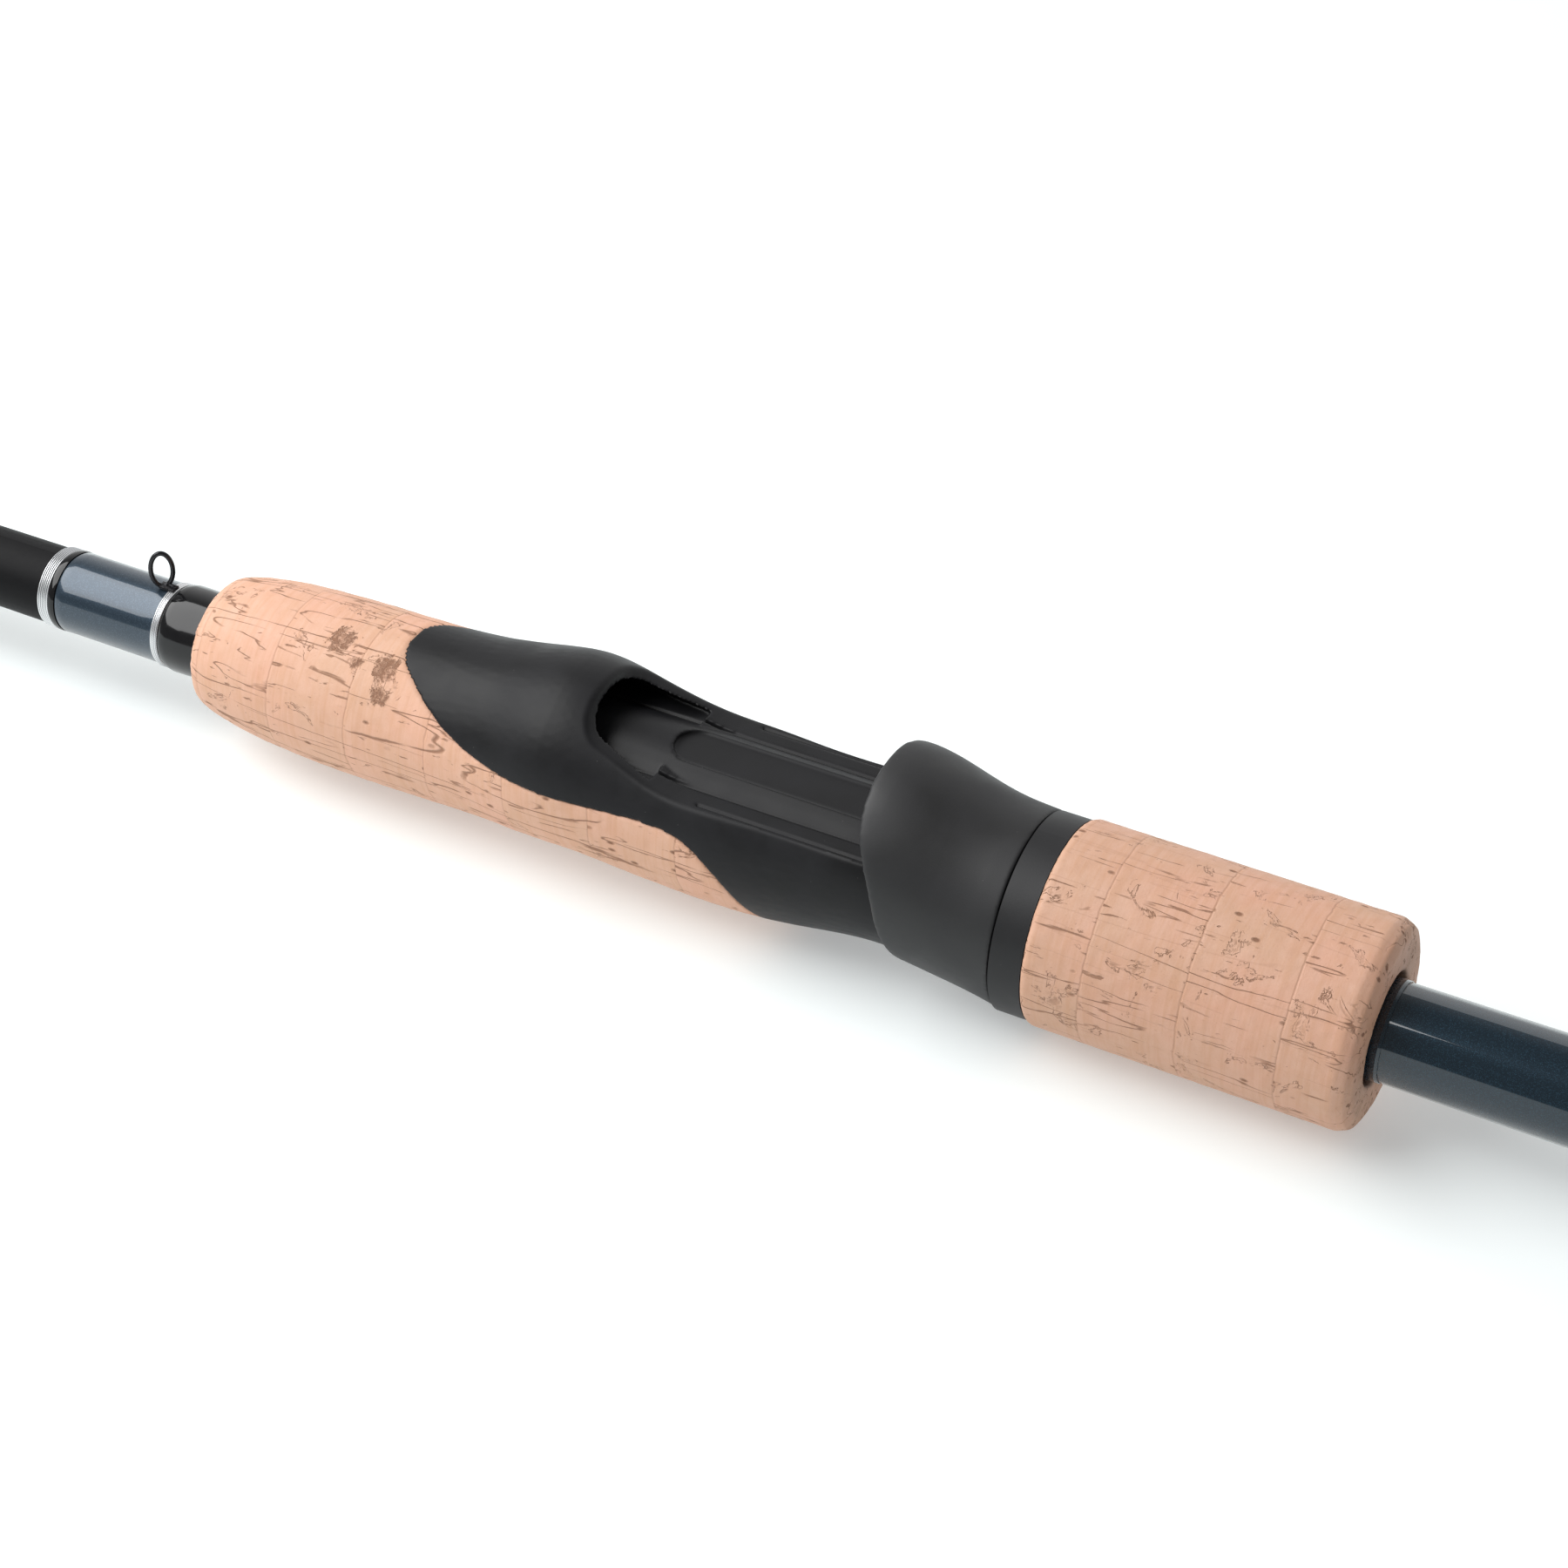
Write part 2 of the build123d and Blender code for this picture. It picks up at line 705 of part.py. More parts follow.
def tip_top_frame():
    bore = tip_radius(tip_tube_start) + tip_tube_clearance
    ring_x = rod_length - tip_ring_inset
    plug_x = rod_length - tip_plug_inset
    outer = bore + tip_tube_wall
    sleeve = turned([(tip_tube_start, 0), (tip_tube_start, outer), (ring_x, outer), (ring_x, 0)])
    sleeve -= turned([(tip_tube_start, 0), (tip_tube_start, bore), (plug_x, bore), (plug_x, 0)])
    frame = sleeve + guide_band(ring_x, tip_ring_diameter, tip_ring_rise)
    rim = tip_ring_diameter / 2 + band_thickness / 2
    for side in (-1, 1):
        brace_foot = (tip_tube_start + tip_brace_start, side * (bore + 0.1), 0.2)
        frame += rod_between(brace_foot, (ring_x, side * rim, tip_ring_rise), tip_brace_radius)
    clearance = turned([(tip_tube_start - 1, 0), (tip_tube_start - 1, bore), (plug_x, bore), (plug_x, 0)])
    return frame - clearance - ring_seat(ring_x, tip_ring_diameter, tip_ring_rise)


def tip_top_wrap():
    x_a = tip_tube_start - tip_wrap_length
    outer = tip_radius(x_a) + tip_wrap_thickness
    outline = [(x_a, tip_radius(x_a)), (tip_tube_start, tip_radius(tip_tube_start)), (tip_tube_start, outer)]
    return turned(outline + [(x_a + 1, outer)])


def build():
    front = at(foregrip_front)
    gloss_end = front + gloss_wrap_length
    band_end = gloss_end + keeper_band_length
    keeper_end = band_end + keeper_wrap_length
    front_band_end = keeper_end + front_band_length
    trim_end = front_band_end + front_trim_length
    gloss_radius = blank_radius(gloss_end) + gloss_wrap_thickness
    rear_wrap_front = at(rear_wrap_offset)
    keeper = hook_keeper()
    nodes = {
        "butt_cap": butt_cap(),
        "butt_grip": butt_grip(),
        "butt_trim": butt_trim(),
        "butt_blank": butt_blank(),
        "tip_blank": tip_blank(),
        "ferrule_wrap": ferrule_wrap(),
        "rear_trim_wrap": winding(rear_wrap_front - rear_wrap_length, rear_wrap_front, wrap_thickness),
        "reel_seat": reel_seat(),
        "seat_arbor_front": arbor(seat_pipe_front - arbor_inset - arbor_length / 2),
        "seat_arbor_middle": arbor(middle_arbor),
        "seat_arbor_rear": arbor(pipe_rear + arbor_inset + arbor_length / 2),
        "sliding_hood": sliding_hood(),
        "nut_collar": nut_collar(),
        "nut_grip": nut_grip(),
        "foregrip": foregrip(),
        "foregrip_wrap": sleeve_on_blank(front, gloss_end, gloss_radius, gloss_radius) - keeper,
        "keeper_band": winding(gloss_end, band_end, keeper_band_thickness) - keeper,
        "keeper_wrap": winding(band_end, keeper_end, wrap_thickness),
        "front_band": winding(keeper_end, front_band_end, front_band_thickness),
        "front_trim": winding(front_band_end, trim_end, front_trim_thickness),
        "hook_keeper": keeper,
        "tip_top_frame": tip_top_frame(),
        "tip_top_ring": guide_ring(rod_length - tip_ring_inset, tip_ring_diameter, tip_ring_rise),
        "tip_top_wrap": tip_top_wrap(),
    }
    for number, (distance, diameter, height) in enumerate(guides, 1):
        x = rod_length - distance
        nodes[f"guide_{number}_frame"] = guide_frame(x, diameter, height)
        nodes[f"guide_{number}_ring"] = guide_ring(x, diameter, height)
        nodes[f"guide_{number}_wrap"] = guide_wrap(x, diameter)
    return nodes


def write(nodes):
    os.makedirs("parts", exist_ok=True)
    for name, shape in nodes.items():
        if isinstance(shape, list):
            shape = Compound(children=shape)
        export_step(shape, f"parts/{name}.step")


if __name__ == "__main__":
    write(build())
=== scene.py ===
import math

import bpy
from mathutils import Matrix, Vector


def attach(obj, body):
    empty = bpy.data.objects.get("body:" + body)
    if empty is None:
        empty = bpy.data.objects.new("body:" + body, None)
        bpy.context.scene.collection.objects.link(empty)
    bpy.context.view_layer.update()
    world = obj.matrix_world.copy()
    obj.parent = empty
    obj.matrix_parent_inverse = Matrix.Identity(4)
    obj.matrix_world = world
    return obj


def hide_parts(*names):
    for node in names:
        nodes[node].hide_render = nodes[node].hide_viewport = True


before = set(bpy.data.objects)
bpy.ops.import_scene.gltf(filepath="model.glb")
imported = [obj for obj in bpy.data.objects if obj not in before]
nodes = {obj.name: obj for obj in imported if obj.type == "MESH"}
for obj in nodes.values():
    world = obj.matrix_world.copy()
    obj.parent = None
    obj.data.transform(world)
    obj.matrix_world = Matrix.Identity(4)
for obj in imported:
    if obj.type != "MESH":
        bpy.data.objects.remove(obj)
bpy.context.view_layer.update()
mm = 0.001
mergeDistance = 0.000002

# helpers that build and join shader nodes
surfaceOutputs = [
    ("Colour", "NodeSocketColor"),
    ("Roughness", "NodeSocketFloat"),
    ("Normal", "NodeSocketVector"),
]


def newGroup(name, inputs, outputs):
    tree = bpy.data.node_groups.new(name, "ShaderNodeTree")
    for socketName, kind, value in inputs:
        socket = tree.interface.new_socket(socketName, in_out="INPUT", socket_type=kind)
        socket.default_value = value
    for socketName, kind in outputs:
        tree.interface.new_socket(socketName, in_out="OUTPUT", socket_type=kind)
    return tree, tree.nodes.new("NodeGroupInput"), tree.nodes.new("NodeGroupOutput")


def feed(tree, socket, value):
    if isinstance(value, bpy.types.NodeSocket):
        tree.links.new(value, socket)
    else:
        socket.default_value = value


def calc(tree, operation, first, second=None, third=None, clamp=False):
    node = tree.nodes.new("ShaderNodeMath")
    node.operation = operation
    node.use_clamp = clamp
    for slot, value in zip(node.inputs, (first, second, third)):
        if value is not None:
            feed(tree, slot, value)
    return node.outputs[0]


def vectorCalc(tree, operation, first, second=None, scale=None):
    node = tree.nodes.new("ShaderNodeVectorMath")
    node.operation = operation
    feed(tree, node.inputs[0], first)
    if second is not None:
        feed(tree, node.inputs[1], second)
    if scale is not None:
        feed(tree, node.inputs["Scale"], scale)
    return node.outputs["Value"] if operation == "DISTANCE" else node.outputs[0]


def ramp(tree, value, low, high, toLow=0.0, toHigh=1.0, smooth=False):
    node = tree.nodes.new("ShaderNodeMapRange")
    node.interpolation_type = "SMOOTHSTEP" if smooth else "LINEAR"
    feed(tree, node.inputs["Value"], value)
    for name, number in (("From Min", low), ("From Max", high), ("To Min", toLow), ("To Max", toHigh)):
        feed(tree, node.inputs[name], number)
    return node.outputs["Result"]


def noise(tree, vector, scale, detail=2.0, roughness=0.5, distortion=0.0):
    node = tree.nodes.new("ShaderNodeTexNoise")
    feed(tree, node.inputs["Vector"], vector)
    feed(tree, node.inputs["Scale"], scale)
    node.inputs["Detail"].default_value = detail
    node.inputs["Roughness"].default_value = roughness
    node.inputs["Distortion"].default_value = distortion
    return node.outputs["Fac"]


def cells(tree, vector, scale):
    node = tree.nodes.new("ShaderNodeTexVoronoi")
    feed(tree, node.inputs["Vector"], vector)
    feed(tree, node.inputs["Scale"], scale)
    return node.outputs["Distance"], node.outputs["Color"]


def blendColour(tree, factor, first, second, mode="MIX"):
    node = tree.nodes.new("ShaderNodeMix")
    node.data_type = "RGBA"
    node.blend_type = mode
    feed(tree, node.inputs[0], factor)
    feed(tree, node.inputs[6], first)
    feed(tree, node.inputs[7], second)
    return node.outputs[2]


def bump(tree, height, strength, distance):
    node = tree.nodes.new("ShaderNodeBump")
    node.inputs["Strength"].default_value = strength
    node.inputs["Distance"].default_value = distance
    feed(tree, node.inputs["Height"], height)
    return node.outputs["Normal"]


def inMillimetres(tree):
    place = tree.nodes.new("ShaderNodeTexCoord").outputs["Object"]
    return vectorCalc(tree, "SCALE", place, scale=1000.0)


def stretched(tree, vector, x, y, z):
    return vectorCalc(tree, "MULTIPLY", vector, (x, y, z))


def contourLine(tree, value, level, thin, wide):
    # one along the line where the value crosses the level, fading to zero beside it
    away = calc(tree, "ABSOLUTE", calc(tree, "SUBTRACT", value, level))
    return ramp(tree, away, thin, wide, 1.0, 0.0)


def parts(tree, vector):
    node = tree.nodes.new("ShaderNodeSeparateXYZ")
    feed(tree, node.inputs[0], vector)
    return node.outputs


def useGroup(material, tree, **values):
    node = material.node_tree.nodes.new("ShaderNodeGroup")
    node.node_tree = tree
    for name, value in values.items():
        feed(material.node_tree, node.inputs[name], value)
    return node


def newMaterial(name, **settings):
    material = bpy.data.materials.new(name)
    material.use_nodes = True
    shader = material.node_tree.nodes["Principled BSDF"]
    for socketName, value in settings.items():
        shader.inputs[socketName.replace("_", " ")].default_value = value
    return material, shader, material.node_tree


def joinSurface(tree, group, shader):
    for output, socketName in (("Colour", "Base Color"), ("Roughness", "Roughness"), ("Normal", "Normal")):
        tree.links.new(group.outputs[output], shader.inputs[socketName])


corkColours = {
    "body": ((0.70, 0.385, 0.265, 1), (0.64, 0.375, 0.248, 1)),
    "pale": (0.75, 0.48, 0.365, 1),
    "ring": (0.60, 0.31, 0.17, 1),
    "speck": (0.48, 0.25, 0.14, 1),
    "joint": (0.42, 0.2, 0.11, 1),
    "marks": ((0.09, 0.035, 0.022, 1), (0.3, 0.14, 0.07, 1)),
    "markStrength": 0.82,
    "jointWidth": 0.016,
    "discShift": 90.0,
    "knotOutline": 0.645,
    "roughness": (0.62, 0.9),
    "bump": (0.7, 0.00022),
}


# cork: discs glued in a row, growth lines, lenticels along the rod, pits and knots
def makeCorkGrain():
    tree, given, result = newGroup(
        "corkGrain",
        [
            ("Place", "NodeSocketVector", (0, 0, 0)),
            ("Disc length", "NodeSocketFloat", 12.7),
            ("Disc phase", "NodeSocketFloat", 0.0),
            ("Seed", "NodeSocketFloat", 0.0),
            ("Knot amount", "NodeSocketFloat", 0.5),
            ("Through seams", "NodeSocketFloat", 0.5),
            ("Tone", "NodeSocketFloat", 1.0),
            ("Extra dark", "NodeSocketFloat", 0.0),
        ],
        surfaceOutputs,
    )
    take = given.outputs
    place = take["Place"]
    along = parts(tree, place)[0]
    step = calc(tree, "ADD", calc(tree, "DIVIDE", along, take["Disc length"]), take["Disc phase"])
    disc = calc(tree, "ADD", calc(tree, "FLOOR", step), take["Seed"])
    white = tree.nodes.new("ShaderNodeTexWhiteNoise")
    white.noise_dimensions = "1D"
    feed(tree, white.inputs["W"], disc)
    shift = vectorCalc(tree, "SCALE", white.outputs["Color"], scale=corkColours["discShift"])
    own = vectorCalc(tree, "ADD", place, shift)
    wobble = calc(tree, "MULTIPLY", calc(tree, "SUBTRACT", noise(tree, place, 0.35, 2.0), 0.5), 0.05)
    edge = calc(tree, "PINGPONG", calc(tree, "ADD", step, wobble), 0.5)
    joint = ramp(tree, edge, 0.0, corkColours["jointWidth"], 1.0, 0.0)

    broad = noise(tree, own, 0.09, 3.0)
    cloud = noise(tree, own, 0.5, 4.0, 0.6)
    rings = noise(tree, stretched(tree, own, 1.5, 0.1, 0.1), 1.0, 3.0, 0.55, 0.4)
    speckle = noise(tree, own, 3.2, 3.0, 0.7)

    longways = stretched(tree, own, 0.028, 0.3, 0.3)
    contour = contourLine(tree, noise(tree, longways, 1.0, 3.0, 0.45, 0.3), 0.5, 0.0025, 0.0095)
    breaks = ramp(tree, noise(tree, stretched(tree, own, 0.12, 0.3, 0.3), 1.0, 2.0), 0.47, 0.55)
    seam = calc(tree, "MULTIPLY", contour, breaks)

    # growth seams that run on through several discs
    through = noise(tree, stretched(tree, place, 0.009, 0.24, 0.24), 1.0, 2.0, 0.4, 0.15)
    throughLine = contourLine(tree, through, 0.5, 0.0018, 0.0075)
    throughGaps = ramp(tree, noise(tree, stretched(tree, place, 0.1, 0.3, 0.3), 1.0, 3.0), 0.4, 0.5)
    throughLine = calc(tree, "MULTIPLY", throughLine, throughGaps)
    throughLine = calc(tree, "MULTIPLY", throughLine, take["Through seams"])

    slitPlace = stretched(tree, own, 0.22, 1.3, 1.3)
    slits = ramp(tree, noise(tree, slitPlace, 1.0, 3.0, 0.55, 0.3), 0.67, 0.715)

    distance, tint = cells(tree, stretched(tree, own, 0.32, 0.62, 0.62), 1.0)
    chosen = ramp(tree, parts(tree, tint)[0], 0.8, 0.82)
    pits = calc(tree, "MULTIPLY", ramp(tree, distance, 0.1, 0.22, 1.0, 0.0), chosen)

    knotNoise = noise(tree, stretched(tree, own, 0.16, 0.2, 0.2), 1.0, 5.0, 0.62, 0.8)
    knotLevel = calc(tree, "ADD", knotNoise, calc(tree, "MULTIPLY", take["Knot amount"], 0.1))
    outline = contourLine(tree, knotLevel, corkColours["knotOutline"], 0.002, 0.011)
    outline = calc(tree, "MULTIPLY", outline, ramp(tree, cloud, 0.42, 0.55))
    knotFill = ramp(tree, knotLevel, 0.68, 0.74)

    dark = calc(tree, "MAXIMUM", calc(tree, "MULTIPLY", seam, 0.85), calc(tree, "MULTIPLY", slits, 0.8))
    dark = calc(tree, "MAXIMUM", calc(tree, "MAXIMUM", dark, pits), throughLine)
    dark = calc(tree, "MAXIMUM", dark, calc(tree, "MULTIPLY", outline, 0.85))
    dark = calc(tree, "MAXIMUM", dark, calc(tree, "MULTIPLY", calc(tree, "MULTIPLY", knotFill, cloud), 0.9))
    dark = calc(tree, "MAXIMUM", dark, take["Extra dark"], clamp=True)

    base = blendColour(tree, ramp(tree, broad, 0.35, 0.65), *corkColours["body"])
    base = blendColour(tree, ramp(tree, cloud, 0.35, 0.7, 0.0, 0.35), base, corkColours["pale"])
    base = blendColour(tree, ramp(tree, rings, 0.45, 0.62, 0.0, 0.3), base, corkColours["ring"])
    base = blendColour(tree, ramp(tree, speckle, 0.62, 0.72, 0.0, 0.35), base, corkColours["speck"])
    base = blendColour(tree, calc(tree, "MULTIPLY", joint, 0.3), base, corkColours["joint"])
    base = vectorCalc(tree, "SCALE", base, scale=take["Tone"])
    brown = blendColour(tree, cloud, *corkColours["marks"])
    strength = calc(tree, "MULTIPLY", dark, corkColours["markStrength"])
    feed(tree, result.inputs["Colour"], blendColour(tree, strength, base, brown))
    feed(tree, result.inputs["Roughness"], ramp(tree, dark, 0.0, 1.0, *corkColours["roughness"]))

    height = calc(tree, "MULTIPLY_ADD", dark, -1.0, calc(tree, "MULTIPLY", joint, -0.3))
    height = calc(tree, "MULTIPLY_ADD", speckle, 0.22, height)
    height = calc(tree, "MULTIPLY_ADD", rings, 0.12, height)
    feed(tree, result.inputs["Normal"], bump(tree, height, *corkColours["bump"]))
    return tree


# a patch of bark-like knots at a chosen spot, in millimetres
def makeKnotSpot():
    tree, given, result = newGroup(
        "knotSpot",
        [
            ("Place", "NodeSocketVector", (0, 0, 0)),
            ("Centre", "NodeSocketVector", (0, 0, 0)),
            ("Radius", "NodeSocketFloat", 3.0),
        ],
        [("Mask", "NodeSocketFloat")],
    )
    take = given.outputs
    away = vectorCalc(tree, "DISTANCE", take["Place"], take["Centre"])
    ragged = noise(tree, take["Place"], 0.55, 5.0, 0.7, 1.2)
    reach = calc(tree, "MULTIPLY", take["Radius"], calc(tree, "MULTIPLY_ADD", ragged, 2.4, -0.45))
    inside = ramp(tree, calc(tree, "SUBTRACT", reach, away), -0.1, 0.35)
    veins = ramp(tree, noise(tree, take["Place"], 1.3, 4.0, 0.7, 1.5), 0.38, 0.56, 0.4, 1.0)
    feed(tree, result.inputs["Mask"], calc(tree, "MULTIPLY", inside, veins))
    return tree


# soft-touch moulded plastic: a fine spark texture, slow sheen changes and a little dust
def makeMouldedSkin():
    tree, given, result = newGroup(
        "mouldedSkin",
        [
            ("Place", "NodeSocketVector", (0, 0, 0)),
            ("Dark", "NodeSocketColor", (0.012, 0.012, 0.013, 1)),
            ("Light", "NodeSocketColor", (0.02, 0.02, 0.021, 1)),
            ("Low roughness", "NodeSocketFloat", 0.42),
            ("High roughness", "NodeSocketFloat", 0.54),
        ],
        surfaceOutputs,
    )
    take = given.outputs
    grain = noise(tree, take["Place"], 5.5, 3.0, 0.6)
    slow = noise(tree, take["Place"], 0.14, 3.0, 0.5)
    dust, tint = cells(tree, take["Place"], 1.15)
    chosen = ramp(tree, parts(tree, tint)[1], 0.93, 0.95)
    mote = calc(tree, "MULTIPLY", ramp(tree, dust, 0.03, 0.075, 1.0, 0.0), chosen)
    colour = blendColour(tree, ramp(tree, slow, 0.35, 0.65), take["Dark"], take["Light"])
    colour = blendColour(tree, calc(tree, "MULTIPLY", mote, 0.16), colour, (0.45, 0.43, 0.4, 1))
    feed(tree, result.inputs["Colour"], colour)
    sheen = ramp(tree, slow, 0.35, 0.65, take["Low roughness"], take["High roughness"])
    feed(tree, result.inputs["Roughness"], sheen)
    feed(tree, result.inputs["Normal"], bump(tree, grain, 0.16, 0.00006))
    return tree


# winding thread: turns across the rod with the twist of each strand; the colour is painted shade, dark in the
# grooves between turns and strands and light on their crests
def makeThreadTurns():
    tree, given, result = newGroup(
        "threadTurns",
        [
            ("Place", "NodeSocketVector", (0, 0, 0)),
            ("Turns per mm", "NodeSocketFloat", 5.0),
            ("Dark", "NodeSocketColor", (0.02, 0.02, 0.02, 1)),
            ("Light", "NodeSocketColor", (0.1, 0.1, 0.1, 1)),
            ("Twist", "NodeSocketFloat", 0.5),
        ],
        [("Colour", "NodeSocketColor"), ("Height", "NodeSocketFloat"), ("Normal", "NodeSocketVector")],
    )
    take = given.outputs
    along, across, up = parts(tree, take["Place"])[:3]
    angle = calc(tree, "ARCTAN2", across, up)
    oneTurn = 0.159  # a whole turn in radians comes to one pitch
    lay = calc(tree, "MULTIPLY_ADD", angle, oneTurn, calc(tree, "MULTIPLY", along, take["Turns per mm"]))
    turn = calc(tree, "ABSOLUTE", calc(tree, "SINE", calc(tree, "MULTIPLY", lay, math.pi)))
    strandsRound, strandSlant = 110.0, 9.0
    slant = calc(tree, "MULTIPLY", lay, strandSlant)
    strand = calc(tree, "SINE", calc(tree, "MULTIPLY_ADD", angle, strandsRound, slant))
    strand = calc(tree, "MULTIPLY", ramp(tree, strand, -1.0, 1.0), take["Twist"])
    height = calc(tree, "SUBTRACT", turn, calc(tree, "MULTIPLY", strand, 0.5), clamp=True)
    # painted shade: the colour runs from the dark colour down in the grooves to the light colour on the crests
    feed(tree, result.inputs["Colour"], blendColour(tree, height, take["Dark"], take["Light"]))
    feed(tree, result.inputs["Height"], height)
    feed(tree, result.inputs["Normal"], bump(tree, height, 0.5, 0.00005))
    return tree


# metal flakes under lacquer
def makeFlakes():
    tree, given, result = newGroup(
        "flakes",
        [
            ("Place", "NodeSocketVector", (0, 0, 0)),
            ("Base", "NodeSocketColor", (0.01, 0.03, 0.05, 1)),
            ("Sparkle", "NodeSocketColor", (0.1, 0.2, 0.3, 1)),
            ("Size", "NodeSocketFloat", 7.0),
        ],
        [("Colour", "NodeSocketColor"), ("Mask", "NodeSocketFloat")],
    )
    take = given.outputs
    distance, tint = cells(tree, take["Place"], take["Size"])
    pick = ramp(tree, parts(tree, tint)[0], 0.55, 1.0)
    pick = calc(tree, "MULTIPLY", pick, ramp(tree, distance, 0.25, 0.6, 1.0, 0.2))
    feed(tree, result.inputs["Colour"], blendColour(tree, pick, take["Base"], take["Sparkle"]))
    feed(tree, result.inputs["Mask"], pick)
    return tree


corkGrain = makeCorkGrain()
knotSpot = makeKnotSpot()
mouldedSkin = makeMouldedSkin()
threadTurns = makeThreadTurns()
flakes = makeFlakes()
print("shader groups made")

# the cork of each grip; knot spots are a centre and a radius in millimetres
corkLook = {
    "foregripCork": {"discPhase": 0.1, "seed": 3.0, "knots": 0.2, "through": 0.9, "tone": 0.98},
    "rearCork": {"discPhase": 0.55, "seed": 11.0, "knots": 0.5, "through": 0.12, "tone": 0.9},
    "buttCork": {"discPhase": 0.3, "seed": 23.0, "knots": 0.45, "through": 0.5, "tone": 0.95},
    "knotSpots": [
        ((371, 4.2, 10.8), 2.6),
        ((363, 6.3, 10.0), 2.3),
        ((362.5, 9.0, 7.6), 1.8),
        ((367.4, 6.5, 9.6), 1.2),
    ],
}


def makeCork(name, spots=()):
    look = corkLook[name]
    material, shader, tree = newMaterial(name, Specular_IOR_Level=0.5)
    place = inMillimetres(tree)
    extra = 0.0
    for centre, radius in spots:
        spot = useGroup(material, knotSpot, Place=place, Centre=centre, Radius=radius)
        extra = calc(tree, "MAXIMUM", spot.outputs["Mask"], extra)
    grain = useGroup(material, corkGrain, Place=place)
    feed(tree, grain.inputs["Disc phase"], look["discPhase"])
    feed(tree, grain.inputs["Seed"], look["seed"])
    feed(tree, grain.inputs["Knot amount"], look["knots"])
    feed(tree, grain.inputs["Through seams"], look["through"])
    feed(tree, grain.inputs["Tone"], look["tone"])
    feed(tree, grain.inputs["Extra dark"], extra)
    joinSurface(tree, grain, shader)
    return material


plasticLook = {
    "seatPlastic": {
        "dark": (0.0075, 0.0075, 0.0082, 1),
        "light": (0.0115, 0.0115, 0.013, 1),
        "roughness": (0.4, 0.5),
        "specular": 0.2,
    },
    "hoodPlastic": {
        "dark": (0.0065, 0.0065, 0.0072, 1),
        "light": (0.0095, 0.0095, 0.011, 1),
        "roughness": (0.5, 0.6),
        "specular": 0.55,
    },
    "barrelPlastic": {
        "dark": (0.008, 0.008, 0.0088, 1),
        "light": (0.012, 0.012, 0.013, 1),
        "roughness": (0.32, 0.42),
        "specular": 0.4,
    },
    "collarPlastic": {
        "dark": (0.008, 0.008, 0.0088, 1),
        "light": (0.012, 0.012, 0.0135, 1),
        "roughness": (0.42, 0.52),
        "specular": 0.36,
    },
    "buttRubber": {
        "dark": (0.014, 0.014, 0.014, 1),
        "light": (0.026, 0.025, 0.025, 1),
        "roughness": (0.62, 0.78),
        "specular": 0.3,
    },
}


def makePlastic(name):
    look = plasticLook[name]
    material, shader, tree = newMaterial(name, Specular_IOR_Level=look["specular"])
    place = inMillimetres(tree)
    skin = useGroup(material, mouldedSkin, Place=place, Dark=look["dark"], Light=look["light"])
    low, high = look["roughness"]
    feed(tree, skin.inputs["Low roughness"], low)
    feed(tree, skin.inputs["High roughness"], high)
    joinSurface(tree, skin, shader)
    return material


# dark is painted shade in the grooves between turns; light is the thread's own colour on the crests
def makeThread(name, dark, light, turnsPerMm, twist, **settings):
    material, shader, tree = newMaterial(name, **settings)
    turns = useGroup(material, threadTurns, Place=inMillimetres(tree), Dark=dark, Light=light, Twist=twist)
    feed(tree, turns.inputs["Turns per mm"], turnsPerMm)
    tree.links.new(turns.outputs["Colour"], shader.inputs["Base Color"])
    tree.links.new(turns.outputs["Normal"], shader.inputs["Normal"])
    return material


blankLook = {
    "navy": (0.005, 0.016, 0.027, 1),
    "navyFlake": (0.02, 0.055, 0.085, 1),
    "matt": (0.005, 0.005, 0.0056, 1),
    "mattLight": (0.009, 0.009, 0.0098, 1),
    "colourChange": 412.0,
    "changeWidth": 0.4,
    "metallic": 0.3,
    "flakeSize": 9.0,
    "roughness": 0.26,
    "mattRoughness": (0.44, 0.54),
}


def makeBlank():
    material, shader, tree = newMaterial("blankLacquer", Coat_Roughness=0.04, Coat_IOR=1.55, Specular_IOR_Level=0.08)
    place = inMillimetres(tree)
    along = parts(tree, place)[0]
    change = blankLook["colourChange"]
    front = ramp(tree, along, change, change + blankLook["changeWidth"])
    flake = useGroup(material, flakes, Place=place, Base=blankLook["navy"], Sparkle=blankLook["navyFlake"])
    feed(tree, flake.inputs["Size"], blankLook["flakeSize"])
    mattNoise = noise(tree, place, 2.2, 3.0, 0.6)
    mattColour = blendColour(tree, mattNoise, blankLook["matt"], blankLook["mattLight"])
    tree.links.new(blendColour(tree, front, flake.outputs["Colour"], mattColour), shader.inputs["Base Color"])
    gloss = calc(tree, "MULTIPLY_ADD", flake.outputs["Mask"], 0.1, blankLook["roughness"])
    rough = tree.nodes.new("ShaderNodeMix")
    feed(tree, rough.inputs[0], front)
    feed(tree, rough.inputs[2], gloss)
    feed(tree, rough.inputs[3], ramp(tree, mattNoise, 0.3, 0.7, *blankLook["mattRoughness"]))
    tree.links.new(rough.outputs[0], shader.inputs["Roughness"])
    tree.links.new(ramp(tree, front, 0.0, 1.0, 1.0, 0.0), shader.inputs["Coat Weight"])
    tree.links.new(ramp(tree, front, 0.0, 1.0, blankLook["metallic"], 0.0), shader.inputs["Metallic"])
    ripple = noise(tree, stretched(tree, place, 1.4, 0.12, 0.12), 1.0, 2.0)
    tree.links.new(bump(tree, ripple, 0.12, 0.00004), shader.inputs["Normal"])
    return material


navyWrapLook = {
    "base": (0.025, 0.042, 0.062, 1),
    "sparkle": (0.06, 0.09, 0.125, 1),
    "flakeSize": 9.0,
    "turnsPerMm": 6.0,
    "twist": 0.2,
    "grooveShade": 0.8,
}


